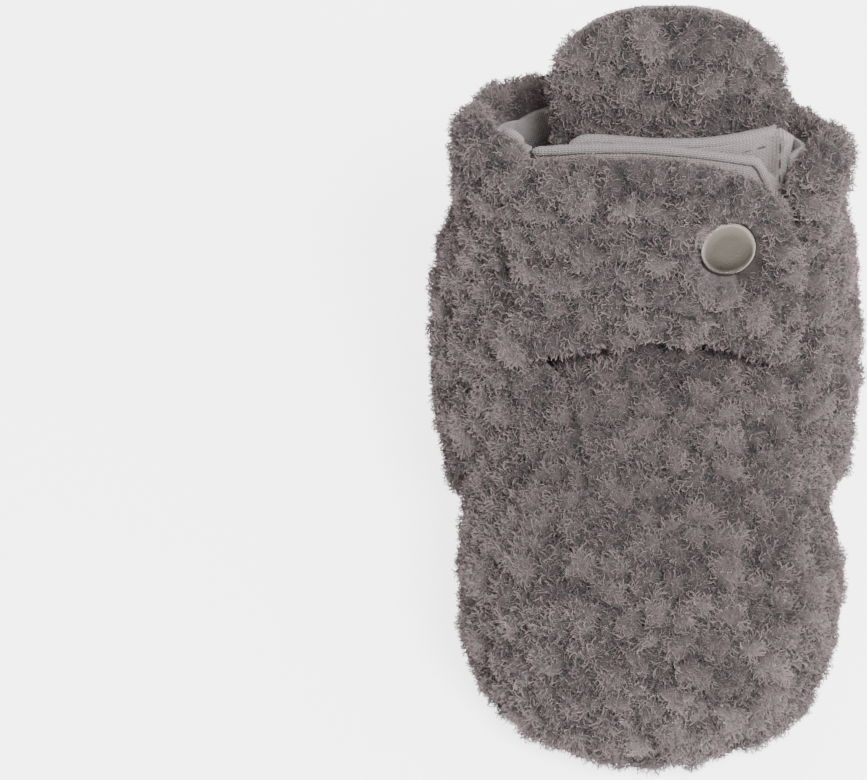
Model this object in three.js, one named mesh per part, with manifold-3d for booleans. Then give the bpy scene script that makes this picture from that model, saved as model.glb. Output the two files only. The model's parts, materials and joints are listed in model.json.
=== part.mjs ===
// Soft baby bootie for a left foot. A fleece vamp, quarter and tongue are lined with thin knit and stand on a
// padded sole. A fleece strap crosses the ankle over a knit under-flap, and one prong snap joins the two.
//
// Millimetres, +Z up. The toe points to -Y, and the strap's free end, with the snap, lies on the +X side.
// The origin is on the ground, at the middle of the sole.

import * as THREE from "three";
import { mergeVertices } from "three/addons/utils/BufferGeometryUtils.js";
import Module from "manifold-3d";

const wasm = await Module();
wasm.setup();

// ---------------------------------------------------------------- driving dimensions

const GAP = 0.3; // free space between two pieces that touch
const FLEECE = 5.2; // fleece with its pile
const KNIT = 0.9; // one layer of lining knit
const SECTION_POWER = 2.6; // 2 is an ellipse, more is squarer
const SLIVER = 0.004; // cuts leave no triangle thinner than this
const REACH = 90; // how far a cutting solid runs past the bootie

// Vamp: a dome over the toes, round at the nose and running back to the throat.
const NOSE_TIP = -58.5;
const NOSE_CENTRE = -29; // where the dome is widest
const VAMP_END = 4; // the throat, under the strap
const VAMP_MIDDLE = 14; // height of the widest line
const VAMP_DEPTH = 24; // how far the section would run below that line if the ground let it
const VAMP_AT_NOSE = { half: 31.6, top: 37.5 };
const VAMP_AT_END = { half: 28.6, top: 48.3 };

// Quarter and strap: rings from the sole to above the cuff. Each ring has a front and a back point and a half width.
const WRAP_RINGS = [
  { front: [-22, -3], back: [52, -3], half: 27 },
  { front: [-24, 12], back: [58.5, 12], half: 34.5 },
  { front: [-18, 28], back: [59, 28], half: 36.2 },
  { front: [-6, 44], back: [55.5, 44], half: 34.8 },
  { front: [4, 58], back: [52.5, 58], half: 31 },
  { front: [11, 74], back: [52.5, 74], half: 33.5 },
  { front: [17.5, 90], back: [54, 90], half: 37 },
  { front: [24, 106], back: [56, 106], half: 39.5 },
];
const RIM = { height: 77.5, front: 25, side: 40, low: 66, back: 62, tilt: 0.065 }; // the cuff falls behind its front corners

// Side seam between vamp and quarter, seen from the side as [y, z].
const SIDE_SEAM = [
  [8, -20],
  [6, 0],
  [1, 14],
  [-3, 28],
  [-4, 42],
];

// Above the throat the front of the ankle is open, and strap, under-flap and tongue fill it.
const THROAT = { middle: 41.5, side: 44.7, inner: 16, outer: 24 };

// The open front is a wedge seen from above. Its two sides are the seams where strap and under-flap are sewn on.
const WEDGE = { middle: 2, half: 27, y: 10, height: 58, lean: 0.46 };

// Sole: three flat layers inside the fleece. Half of the outline, from nose to heel, as [x, y].
const OUTSOLE = 2.2;
const PADDING = 4;
const SOLE_HALF = [
  [9.2, -46.6],
  [16.6, -40],
  [21.6, -29],
  [22, -14],
  [21, 2],
  [21, 16],
  [20, 28],
  [16.5, 39],
  [9.5, 45.7],
];
const SOLE_NOSE = -49;
const SOLE_HEEL = 48;

// Depths below the wrap's outer face.
const SNAP_SPACE = 1.8; // room between strap and under-flap for the snap
const UNDERFLAP_DEPTH = FLEECE + GAP + KNIT + SNAP_SPACE;
const INTERFACING = 0.5; // stiffener patches round the snap
const FLAP_KNIT = 0.6; // the under-flap's knit is stretched thinner
const FLAP_GAP = 0.2;
const FLAP_PATCH = 0.35;

// Tongue: its front face seen from the side, from the throat to the rounded top.
const TONGUE_LINE = [
  [5, 47.5],
  [12.5, 51.2],
  [18.6, 59],
  [24, 70],
  [29.3, 81.5],
  [32.8, 90.5],
  [35.4, 98.3],
];
const TONGUE_FLEECE = 4.5;
const TONGUE_BOW = { low: 0.014, high: 0.005 }; // how fast its sides fall back, at the throat and at the top
const TONGUE_SHIFT = 2.6; // it sits a little to the outer side

// Strap and under-flap, seen from the front.
const STRAP = { root: -40, end: 25.2, low: 53.5, high: 80 };
const STRAP_BORDER = 1.1; // the lining stands this far past the fleece, as a rolled edge
const UNDERFLAP = { root: 40, end: -16, low: 53.5, high: 80.5 };
const FLAP_BACK = 36; // strap and under-flap lie ahead of this plane
const HEM = 1.8; // width of the folded edge that joins the under-flap to the quarter

// Snap: cap and socket on the strap, stud and ring on the under-flap.
const SNAP_X = 13.2;
const SNAP_HEIGHT = 67;
const CAP_RADIUS = 5.25;
const PRONGS = 5;
const PRONG_CIRCLE = 3.4;

// ---------------------------------------------------------------- solids

const AXIS_X = new THREE.Vector3(1, 0, 0);
const AXIS_Y = new THREE.Vector3(0, 1, 0);
const AXIS_Z = new THREE.Vector3(0, 0, 1);

// A closed geometry as a solid that can be cut and joined.
function solid(geometry) {
  const bare = new THREE.BufferGeometry();
  bare.setAttribute("position", geometry.getAttribute("position"));
  bare.setIndex(geometry.index);
  const merged = mergeVertices(bare, 1e-3);
  const corners = [];
  for (let i = 0; i < merged.index.count; i += 3) {
    const [a, b, c] = [0, 1, 2].map((k) => merged.index.getX(i + k));
    if (a !== b && b !== c && c !== a) corners.push(a, b, c);
  }
  const made = new wasm.Mesh({
    numProp: 3,
    vertProperties: merged.getAttribute("position").array,
    triVerts: new Uint32Array(corners),
  });
  return new wasm.Manifold(made);
}

function mesh(name, shape, material) {
  const made = shape.simplify(SLIVER).getMesh();
  const geometry = new THREE.BufferGeometry();
  geometry.setAttribute("position", new THREE.BufferAttribute(made.vertProperties, 3));
  geometry.setIndex(new THREE.BufferAttribute(made.triVerts, 1));
  const piece = new THREE.Mesh(geometry, material);
  piece.name = name;
  return piece;
}

// Moves every vertex of a geometry to place(x, y, z).
function bend(geometry, place) {
  const at = geometry.getAttribute("position");
  for (let i = 0; i < at.count; i++) {
    const p = place(at.getX(i), at.getY(i), at.getZ(i));
    at.setXYZ(i, p.x, p.y, p.z);
  }
  return geometry;
}

function slab(low, high) {
  const box = new THREE.BoxGeometry(2 * REACH, 2 * REACH, high - low);
  return solid(box.translate(0, 0, (low + high) / 2));
}

// An outline pushed along X. Its own x and y stand for Y and Z.
function cutFromSide(shape) {
  const prism = new THREE.ExtrudeGeometry(shape, { depth: 2 * REACH, bevelEnabled: false });
  prism.translate(0, 0, -REACH);
  return solid(prism.applyMatrix4(new THREE.Matrix4().makeBasis(AXIS_Y, AXIS_Z, AXIS_X)));
}

// An outline pushed along Y, from ahead of the toe to the plane y = far. Its own x and y stand for X and Z.
function cutFromFront(shape, far) {
  const options = { depth: 2 * REACH, bevelEnabled: false, curveSegments: 6 };
  const prism = new THREE.ExtrudeGeometry(shape, options);
  const towardsToe = AXIS_Y.clone().negate();
  prism.applyMatrix4(new THREE.Matrix4().makeBasis(AXIS_X, AXIS_Z, towardsToe));
  return solid(prism.translate(0, far, 0));
}

function squared(value) {
  return Math.sign(value) * Math.abs(value) ** (2 / SECTION_POWER);
}

// ---------------------------------------------------------------- the two bodies that the panels are cut from

// The vamp's dome, drawn in by inset. A cylinder's height runs from nose to throat, and its z side is the top.
function vampBody(inset, ground) {
  const noseLength = NOSE_CENTRE - NOSE_TIP;
  return solid(
    bend(new THREE.CylinderGeometry(1, 1, 1, 34, 12), (x, h, z) => {
      const along = h + 0.5;
      const turn = Math.min(1, 0.03 + along * 2) * (Math.PI / 2);
      const back = Math.max(0, along * 2 - 1);
      const swell = Math.sin(turn) ** 0.98;
      const half = THREE.MathUtils.lerp(VAMP_AT_NOSE.half, VAMP_AT_END.half, back) - inset;
      const top = THREE.MathUtils.lerp(VAMP_AT_NOSE.top, VAMP_AT_END.top, back) - inset - VAMP_MIDDLE;
      const rise = squared(z) * (z > 0 ? top : VAMP_DEPTH);
      return new THREE.Vector3(
        squared(x) * half * swell,
        NOSE_CENTRE - (noseLength - inset) * Math.cos(turn) + back * (VAMP_END + 8 - NOSE_CENTRE),
        Math.max(ground, VAMP_MIDDLE + rise * swell),
      );
    }),
  );
}

const wrapFront = new THREE.CatmullRomCurve3(
  WRAP_RINGS.map((ring) => new THREE.Vector3(0, ...ring.front)),
);
const wrapBack = new THREE.CatmullRomCurve3(
  WRAP_RINGS.map((ring) => new THREE.Vector3(0, ...ring.back)),
);
const wrapHalf = new THREE.CatmullRomCurve3(
  WRAP_RINGS.map((ring) => new THREE.Vector3(ring.half, 0, 0)),
);

// A point of the wrap: up runs from 0 at the sole to 1, side and front are places on a unit circle.
function wrapPoint(up, side, front, inset) {
  const ahead = wrapFront.getPoint(up);
  const behind = wrapBack.getPoint(up);
  const middle = ahead.clone().add(behind).divideScalar(2);
  const reach = ahead.clone().sub(middle);
  const length = reach.length();
  const point = middle.addScaledVector(reach, (squared(front) * (length - inset)) / length);
  point.x = squared(side) * (wrapHalf.getPoint(up).x - inset);
  return point;
}

// The quarter and strap's outer form, drawn in by inset.
function wrapBody(inset, ground) {
  return solid(
    bend(new THREE.CylinderGeometry(1, 1, 1, 38, 15), (x, h, z) => {
      const point = wrapPoint(h + 0.5, x, z, inset);
      point.z = Math.max(ground, point.z);
      return point;
    }),
  );
}

function wrapLayer(depth, thickness) {
  return wrapBody(depth, 0).subtract(wrapBody(depth + thickness, -1));
}

// Everything behind the side seam, drawn back by gap.
function behindSeam(gap) {
  const outline = new THREE.Shape();
  outline.moveTo(SIDE_SEAM[0][0] + gap, SIDE_SEAM[0][1]);
  outline.splineThru(SIDE_SEAM.slice(1).map(([y, z]) => new THREE.Vector2(y + gap, z)));
  outline.lineTo(SIDE_SEAM.at(-1)[0] + gap, REACH * 1.5);
  outline.lineTo(REACH, REACH * 1.5);
  outline.lineTo(REACH, -20);
  return cutFromSide(outline);
}

// The open front of the ankle, with its two sides drawn in by spare. It leans back with the ankle.
function ankleWedge(spare) {
  const apex = WEDGE.y + WEDGE.half - spare * Math.SQRT2;
  const outline = new THREE.Shape();
  outline.moveTo(WEDGE.middle, apex);
  outline.lineTo(WEDGE.middle - REACH, apex - REACH);
  outline.lineTo(WEDGE.middle + REACH, apex - REACH);
  const prism = new THREE.ExtrudeGeometry(outline, { depth: REACH * 1.5, bevelEnabled: false });
  const shear = (x, y, z) => new THREE.Vector3(x, y + WEDGE.lean * (z - WEDGE.height), z);
  return solid(bend(prism, shear));
}

// Everything above the throat, raised by lift. Its floor steps up beside the vamp.
function aboveThroat(lift) {
  const middle = THROAT.middle + lift;
  const side = THROAT.side + lift;
  const outline = new THREE.Shape();
  outline.moveTo(-REACH, side);
  outline.lineTo(-THROAT.outer, side);
  outline.lineTo(-THROAT.inner, middle);
  outline.lineTo(THROAT.inner, middle);
  outline.lineTo(THROAT.outer, side);
  outline.lineTo(REACH, side);
  outline.lineTo(REACH, REACH * 2);
  outline.lineTo(-REACH, REACH * 2);
  return cutFromFront(outline, REACH);
}

// Everything above the cuff's rim, which is level ahead of RIM.front.
function aboveRim() {
  const outline = new THREE.Shape();
  outline.moveTo(-REACH, RIM.height);
  outline.lineTo(RIM.front, RIM.height);
  outline.lineTo(RIM.side, RIM.low);
  outline.lineTo(REACH, RIM.back);
  outline.lineTo(REACH, REACH * 2);
  outline.lineTo(-REACH, REACH * 2);
  const tilt = new THREE.Matrix4().makeRotationY(Math.atan(RIM.tilt));
  return cutFromSide(outline).transform(tilt.elements);
}

// ---------------------------------------------------------------- materials

const fleece = new THREE.MeshStandardMaterial({ color: 0x7d7472, roughness: 1, metalness: 0 });
const knit = new THREE.MeshStandardMaterial({ color: 0x9a908c, roughness: 0.95, metalness: 0 });
const soleCloth = new THREE.MeshStandardMaterial({ color: 0x6e6664, roughness: 0.9, metalness: 0 });
const wadding = new THREE.MeshStandardMaterial({ color: 0xe6e2da, roughness: 1, metalness: 0 });
const elasticWeb = new THREE.MeshStandardMaterial({ color: 0xece8e0, roughness: 0.8, metalness: 0 });
const nickel = new THREE.MeshStandardMaterial({ color: 0xb9b2a4, roughness: 0.3, metalness: 1 });

const bootie = new THREE.Group();

// ---------------------------------------------------------------- sole

const soleTop = OUTSOLE + GAP + PADDING + GAP + KNIT;

function soleOutline(grow) {
  const scale = 1 + grow / SOLE_HEEL;
  const right = SOLE_HALF.map(([x, y]) => new THREE.Vector2(x * scale, y * scale));
  const left = SOLE_HALF.map(([x, y]) => new THREE.Vector2(-x * scale, y * scale)).reverse();
  const heel = new THREE.Vector2(0, SOLE_HEEL * scale);
  const nose = new THREE.Vector2(0, SOLE_NOSE * scale);
  const outline = new THREE.Shape();
  outline.moveTo(nose.x, nose.y);
  outline.splineThru([...right, heel]);
  outline.splineThru([...left, nose]);
  return outline;
}

function soleLayer(name, low, high, grow, material) {
  const options = { depth: high - low, bevelEnabled: false, curveSegments: 3 };
  const layer = new THREE.ExtrudeGeometry(soleOutline(grow), options);
  bootie.add(mesh(name, solid(layer.translate(0, 0, low)), material));
}

soleLayer("outsole", 0, OUTSOLE, -0.9, soleCloth);
soleLayer("sole_padding", OUTSOLE + GAP, OUTSOLE + GAP + PADDING, 0.3, wadding);
soleLayer("insole_lining", soleTop - KNIT, soleTop, 1.2, knit);

// ---------------------------------------------------------------- vamp

// What the vamp leaves to the quarter. Above the throat the vamp runs on under the strap.
function quarterRoom(lift) {
  return behindSeam(-GAP).subtract(aboveThroat(lift)).add(behindThroat());
}

function behindThroat() {
  const box = new THREE.BoxGeometry(2 * REACH, REACH, REACH);
  return solid(box.translate(0, VAMP_END + REACH / 2, REACH / 2 - 1));
}

function vampLayer(depth, thickness, lift) {
  const ground = depth === 0 ? 0 : -1;
  return vampBody(depth, ground)
    .subtract(vampBody(depth + thickness, -2))
    .subtract(quarterRoom(lift));
}

const aboveSole = slab(soleTop + GAP, 2 * REACH);

bootie.add(mesh("vamp_fleece", vampLayer(0, FLEECE, GAP), fleece));

// ---------------------------------------------------------------- quarter and its elastic

function quarterLayer(depth, thickness) {
  return wrapLayer(depth, thickness)
    .intersect(behindSeam(0))
    .subtract(ankleWedge(0).intersect(aboveThroat(0)))
    .subtract(aboveRim());
}

const ELASTIC = { low: 53, high: 60, front: 34, thickness: 1 };

// A band round the back of the ankle, grown by spare on every side.
function elasticBand(spare) {
  const from = FLEECE - ELASTIC.thickness;
  const box = new THREE.BoxGeometry(2 * REACH, REACH, ELASTIC.high - ELASTIC.low + 2 * spare);
  box.translate(0, ELASTIC.front - spare + REACH / 2, (ELASTIC.low + ELASTIC.high) / 2);
  return wrapLayer(from - spare, ELASTIC.thickness + 2 * spare).intersect(solid(box));
}

bootie.add(mesh("quarter_fleece", quarterLayer(0, FLEECE).subtract(elasticBand(GAP * 0.7)), fleece));
bootie.add(mesh("quarter_lining", quarterLayer(FLEECE + GAP, KNIT).intersect(aboveSole), knit));
bootie.add(mesh("ankle_elastic", elasticBand(0), elasticWeb));

// Where the two linings pass each other at the throat, the vamp's makes room for the quarter's.
const quarterLiningRoom = quarterLayer(FLEECE + GAP / 2, KNIT + GAP);
const vampLining = vampLayer(FLEECE + GAP, KNIT, -3.4).intersect(aboveSole).subtract(quarterLiningRoom);
bootie.add(mesh("vamp_lining", vampLining, knit));

// ---------------------------------------------------------------- tongue

const tongueLine = new THREE.CatmullRomCurve3(
  TONGUE_LINE.map(([y, z]) => new THREE.Vector3(0, y, z)),
);

function tongueOutline(grow) {
  const outline = new THREE.Shape();
  const base = 13.5 + grow;
  const wide = 19.4 + grow;
  const top = TONGUE_LINE.at(-1)[1] - 1.5 + grow;
  const shoulder = top - 16;
  outline.moveTo(TONGUE_SHIFT - base, 40);
  outline.lineTo(TONGUE_SHIFT + base, 40);
  outline.bezierCurveTo(TONGUE_SHIFT + base, shoulder - 8, TONGUE_SHIFT + wide, shoulder - 8, TONGUE_SHIFT + wide, shoulder);
  outline.bezierCurveTo(TONGUE_SHIFT + wide, shoulder + 12, TONGUE_SHIFT + 9, top, TONGUE_SHIFT, top);
  outline.bezierCurveTo(TONGUE_SHIFT - 9, top, TONGUE_SHIFT - wide, shoulder + 12, TONGUE_SHIFT - wide, shoulder);
  outline.bezierCurveTo(TONGUE_SHIFT - wide, shoulder - 8, TONGUE_SHIFT - base, shoulder - 8, TONGUE_SHIFT - base, 40);
  return outline;
}

// A bowed sheet behind the tongue's line, cut to its outline.
function tongueLayer(depth, thickness, grow) {
  const sheet = bend(new THREE.BoxGeometry(56, 1, 1, 12, 1, 14), (x, d, h) => {
    const up = h + 0.5;
    const point = tongueLine.getPoint(up);
    const along = tongueLine.getTangent(up);
    const below = depth + (d + 0.5) * thickness;
    const bow = THREE.MathUtils.lerp(TONGUE_BOW.low, TONGUE_BOW.high, up);
    point.y += along.z * below + bow * x * x;
    point.z -= along.y * below;
    point.x = x + TONGUE_SHIFT;
    return point;
  });
  return solid(sheet).intersect(cutFromFront(tongueOutline(grow), REACH));
}

bootie.add(mesh("tongue_fleece", tongueLayer(0, TONGUE_FLEECE, 0), fleece));
bootie.add(mesh("tongue_lining", tongueLayer(TONGUE_FLEECE + GAP, KNIT, 0), knit));

// ---------------------------------------------------------------- snap

// The pull direction of the snap: out of the strap's leaning front.
const snapLean = THREE.MathUtils.degToRad(24);
const snapOut = new THREE.Vector3(0.16, -Math.cos(snapLean), Math.sin(snapLean)).normalize();

// A place on the wrap's outer face, found by its height and X.
function wrapFace(x, height) {
  let low = 0;
  let high = 1;
  for (let i = 0; i < 24; i++) {
    const up = (low + high) / 2;
    if (facePoint(up, x).z < height) low = up;
    else high = up;
  }
  return facePoint(low, x);
}

function facePoint(up, x) {
  const share = Math.abs(x) / wrapHalf.getPoint(up).x;
  const side = Math.sign(x) * share ** (SECTION_POWER / 2);
  return wrapPoint(up, side, Math.sqrt(1 - side * side), 0);
}

const snapPlace = new THREE.Matrix4().compose(
  wrapFace(SNAP_X, SNAP_HEIGHT),
  new THREE.Quaternion().setFromUnitVectors(AXIS_Y, snapOut),
  new THREE.Vector3(1, 1, 1),
);

// A turned piece on the snap's axis. Heights are measured outwards from the strap's face.
function turned(profile, sides = 28) {
  const points = profile.map(([radius, height]) => new THREE.Vector2(radius, height));
  return solid(new THREE.LatheGeometry(points, sides).applyMatrix4(snapPlace));
}

function disc(radius, low, high) {
  return turned([[0, low], [radius, low], [radius, high], [0, high]]);
}

function ring(inner, outer, low, high) {
  return turned([[inner, low], [outer, low], [outer, high], [inner, high], [inner, low]]);
}

// Five prongs on a circle, each swollen by spare.
function prongs(low, high, spare) {
  const made = [];
  for (let i = 0; i < PRONGS; i++) {
    const turn = (i * 2 * Math.PI) / PRONGS;
    const prong = new THREE.CylinderGeometry(0.45 + spare, 0.45 + spare, high - low, 6);
    prong.translate(PRONG_CIRCLE * Math.cos(turn), (low + high) / 2, PRONG_CIRCLE * Math.sin(turn));
    made.push(solid(prong.applyMatrix4(snapPlace)));
  }
  return made.reduce((all, one) => all.add(one));
}

// How far down the snap's axis a layer lies, for its depth below the wrap's face.
function downAxis(depth) {
  return -depth * Math.cos(snapLean);
}

const strapInner = downAxis(FLEECE + GAP + KNIT);
const CAP = { rim: -2.2, skirt: -0.9, crown: 0.35 };

// A shallow dome with a rolled rim, and prongs that run back through the strap.
const cap = turned([
  [0, CAP.rim + 0.5],
  [PRONG_CIRCLE + 0.9, CAP.rim + 0.5],
  [CAP_RADIUS - 0.7, CAP.rim],
  [CAP_RADIUS - 0.1, CAP.rim + 0.25],
  [CAP_RADIUS, CAP.skirt],
  [CAP_RADIUS - 0.25, CAP.skirt + 0.55],
  [CAP_RADIUS - 1, CAP.crown - 0.32],
  [CAP_RADIUS / 2, CAP.crown - 0.08],
  [0, CAP.crown],
]).add(prongs(strapInner - 0.1, CAP.rim + 0.7, 0));

const SOCKET = { top: strapInner - 0.2, depth: 1.1, radius: 4.5, mouth: 2.7 };
const socketLow = SOCKET.top - SOCKET.depth;
const socket = turned([
  [0, SOCKET.top - 0.25],
  [SOCKET.mouth - 0.2, SOCKET.top - 0.25],
  [SOCKET.mouth, socketLow + 0.1],
  [SOCKET.mouth + 0.15, socketLow],
  [SOCKET.radius - 0.3, socketLow],
  [SOCKET.radius, socketLow + 0.35],
  [SOCKET.radius - 0.2, SOCKET.top],
  [0, SOCKET.top],
]);

const STUD = { flange: 3.9, head: 2.1, thickness: 0.45 };
const studTop = socketLow - 0.2; // the flange's face
const stud = turned([
  [0, studTop - STUD.thickness],
  [STUD.flange, studTop - STUD.thickness],
  [STUD.flange, studTop],
  [STUD.head - 0.2, studTop],
  [STUD.head, studTop + 0.4],
  [STUD.head - 0.3, studTop + 0.7],
  [0, studTop + 0.8],
]);

const flapInner = downAxis(UNDERFLAP_DEPTH + 2 * FLAP_KNIT + 2 * FLAP_GAP + FLAP_PATCH);
const ringTop = flapInner - 0.2;
const RING = { inner: 2.4, outer: 4.3, thickness: 0.5 };
const backRing = ring(RING.inner, RING.outer, ringTop - RING.thickness, ringTop)
  .add(prongs(ringTop - 0.2, studTop - STUD.thickness - 0.2, 0));

// Room that every layer leaves for the metal which passes through or bears on it.
const prongHoles = prongs(strapInner - 1, 0, 0.25);
const capPocket = disc(CAP_RADIUS + 0.4, CAP.rim - GAP, 8).add(prongHoles);
const socketPocket = disc(SOCKET.radius + GAP, socketLow - 0.2, SOCKET.top + 0.2);
const studPocket = disc(STUD.flange + GAP, studTop - STUD.thickness - 0.15, studTop + 3);
const ringPocket = disc(RING.outer + GAP, ringTop - 4, ringTop + 0.15)
  .add(prongs(ringTop - 1, studTop, 0.25));

// ---------------------------------------------------------------- strap

// Seen from the front: straight at the root, with a round free end. The border stands past the fleece.
function strapOutline(grow) {
  const end = STRAP.end + grow;
  const high = STRAP.high + grow;
  const low = STRAP.low - grow * 0.4;
  const outline = new THREE.Shape();
  outline.moveTo(STRAP.root, low - 13);
  outline.quadraticCurveTo(-14, low, 2, low);
  outline.quadraticCurveTo(end - 8, low - 1, end - 4, low - 6);
  outline.quadraticCurveTo(end, low - 7, end, low);
  outline.lineTo(end - 0.3, high - 20);
  outline.quadraticCurveTo(end - 1, high - 5, end - 15, high - 1.5);
  outline.quadraticCurveTo(0, high + 1.5, -12, high);
  outline.lineTo(STRAP.root, high - 7);
  return outline;
}

// A patch of stiffener round the snap.
function patchOutline(grow) {
  const outline = new THREE.Shape();
  const half = 5.7 + grow;
  outline.moveTo(SNAP_X - half, SNAP_HEIGHT - half - 1);
  outline.lineTo(SNAP_X + half, SNAP_HEIGHT - half - 1);
  outline.lineTo(SNAP_X + half, SNAP_HEIGHT + half + 1);
  outline.lineTo(SNAP_X - half, SNAP_HEIGHT + half + 1);
  return outline;
}

function everythingRight() {
  const box = new THREE.BoxGeometry(REACH, 2 * REACH, 4 * REACH);
  return solid(box.translate(REACH / 2, 0, 0));
}

// The outer side of the wedge, where the under-flap's hem comes first, is narrower for the strap.
function strapRoom() {
  const outer = ankleWedge(GAP).subtract(ankleWedge(GAP + HEM + GAP)).intersect(everythingRight());
  return ankleWedge(GAP).subtract(outer);
}

function strapLayer(depth, thickness, grow) {
  return wrapLayer(depth, thickness)
    .intersect(cutFromFront(strapOutline(grow), FLAP_BACK))
    .intersect(strapRoom());
}

const strapPatchDepth = FLEECE - INTERFACING - 0.1;
const strapPatchRoom = wrapLayer(strapPatchDepth - 0.25, INTERFACING + 1)
  .intersect(cutFromFront(patchOutline(GAP), FLAP_BACK));
const strapPatch = wrapLayer(strapPatchDepth, INTERFACING)
  .intersect(cutFromFront(patchOutline(0), FLAP_BACK))
  .subtract(prongHoles);

bootie.add(
  mesh("strap_fleece", strapLayer(0, FLEECE, 0).subtract(capPocket).subtract(strapPatchRoom), fleece),
  mesh("strap_interfacing", strapPatch, wadding),
  mesh(
    "strap_lining",
    strapLayer(FLEECE + GAP, KNIT, STRAP_BORDER).subtract(prongHoles).subtract(socketPocket),
    knit,
  ),
  mesh("snap_cap", cap, nickel),
  mesh("snap_socket", socket, nickel),
);

// ---------------------------------------------------------------- under-flap

// Seen from the front: square where it leaves the quarter, round at its free end.
function underflapOutline() {
  const { root, end, low, high } = UNDERFLAP;
  const outline = new THREE.Shape();
  outline.moveTo(root, low - 5);
  outline.lineTo(root, high + 2);
  outline.quadraticCurveTo(14, high - 2.5, end + 6, high);
  outline.quadraticCurveTo(end + 1, high, end, high - 7);
  outline.lineTo(end, low + 6);
  outline.quadraticCurveTo(end, low, end + 7, low);
  outline.quadraticCurveTo(14, low, root, low - 13);
  return outline;
}

function underflapLayer(depth, thickness) {
  return wrapLayer(depth, thickness)
    .intersect(cutFromFront(underflapOutline(), FLAP_BACK))
    .intersect(ankleWedge(GAP));
}

// The under-flap's edge, folded up to the quarter's own edge and sewn to it.
const hem = underflapLayer(FLEECE + GAP, UNDERFLAP_DEPTH - FLEECE)
  .subtract(ankleWedge(GAP + HEM))
  .intersect(everythingRight());

const backingDepth = UNDERFLAP_DEPTH + FLAP_KNIT + 2 * FLAP_GAP + FLAP_PATCH;
const flapPatch = wrapLayer(UNDERFLAP_DEPTH + FLAP_KNIT + FLAP_GAP, FLAP_PATCH)
  .intersect(cutFromFront(patchOutline(0), FLAP_BACK))
  .intersect(ankleWedge(2 * GAP))
  .subtract(ringPocket);

bootie.add(
  mesh(
    "underflap_face",
    underflapLayer(UNDERFLAP_DEPTH, FLAP_KNIT).add(hem).subtract(studPocket).subtract(ringPocket),
    knit,
  ),
  mesh("underflap_interfacing", flapPatch, wadding),
  mesh("underflap_lining", underflapLayer(backingDepth, FLAP_KNIT).subtract(ringPocket), knit),
  mesh("snap_stud", stud, nickel),
  mesh("snap_ring", backRing, nickel),
);

export default bootie;
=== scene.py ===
"""A soft fleece baby bootie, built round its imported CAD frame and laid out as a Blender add-on."""

import json
import math
import random

import bmesh
import bpy
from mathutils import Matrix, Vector, bvhtree, kdtree, noise


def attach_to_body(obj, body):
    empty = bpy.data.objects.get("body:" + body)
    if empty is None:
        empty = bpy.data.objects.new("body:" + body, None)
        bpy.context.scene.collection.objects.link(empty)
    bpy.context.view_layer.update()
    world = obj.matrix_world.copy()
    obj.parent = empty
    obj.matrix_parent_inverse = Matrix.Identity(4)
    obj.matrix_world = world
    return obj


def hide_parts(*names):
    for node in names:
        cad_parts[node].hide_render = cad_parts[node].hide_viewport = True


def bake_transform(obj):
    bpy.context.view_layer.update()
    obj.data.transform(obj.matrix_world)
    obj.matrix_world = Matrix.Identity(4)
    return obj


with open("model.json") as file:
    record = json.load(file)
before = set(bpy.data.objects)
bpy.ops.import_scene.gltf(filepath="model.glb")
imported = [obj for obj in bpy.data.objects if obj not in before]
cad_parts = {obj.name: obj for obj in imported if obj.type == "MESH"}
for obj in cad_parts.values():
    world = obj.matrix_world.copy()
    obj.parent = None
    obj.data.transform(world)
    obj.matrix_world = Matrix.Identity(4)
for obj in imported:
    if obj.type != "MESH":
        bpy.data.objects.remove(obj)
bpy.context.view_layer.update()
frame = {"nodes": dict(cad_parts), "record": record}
NODES = frame["nodes"]

bl_info = {
    "name": "Fleece Baby Bootie",
    "version": (1, 0, 0),
    "blender": (4, 5, 0),
    "location": "3D View > Sidebar > Bootie",
    "description": "Gives a baby bootie its fleece, knit linings, stitching and snap",
    "category": "Add Mesh",
}

MM = 0.001

# ------------------------------------------------------------------ settings


def length(name, description, default, **more):
    return bpy.props.FloatProperty(
        name=name, description=description, default=default, unit="LENGTH", precision=5, **more
    )


def colour(name, description, default):
    return bpy.props.FloatVectorProperty(
        name=name, description=description, default=default, subtype="COLOR", size=3, min=0, max=1
    )


class FleeceSettings(bpy.types.PropertyGroup):
    voxel: length("Mesh size", "Spacing of the panels' vertices", 0.7 * MM)
    puff: length("Puff", "Most that a panel's stuffing lifts its face", 0.9 * MM)
    nub_spacing: length("Nub spacing", "Least distance between two nubs", 4.2 * MM)
    nub_height: length("Nub height", "How far a nub stands above the creases", 2.6 * MM)
    nub_sway: length("Nub sway", "How far the nubs' outlines wander", 2.4 * MM)
    curl_spacing: length("Curl spacing", "Least distance between two small curls", 1.7 * MM)
    curl_height: length("Curl height", "How far a curl stands above its nub", 0.5 * MM)
    fibre_width: length("Fibre width", "Width of one strand", 0.135 * MM)
    fibre_radius: length("Fibre curl", "Radius that a strand curls to", 1.1 * MM)
    fibres: bpy.props.FloatProperty(
        name="Fibres", description="Strands on a square millimetre", default=9.0, min=0
    )
    lean: bpy.props.FloatProperty(
        name="Lean", description="How far strands lie over in swirls", default=2.6, min=0
    )
    crown: colour("Crown colour", "Fleece on top of a nub", (0.09, 0.069, 0.071))
    # The colour below is painted shade: fleece between nubs darkened for the shade that falls in the creases.
    painted_crease_shade: colour("Crease colour", "Fleece between nubs", (0.008, 0.0062, 0.0062))


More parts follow.
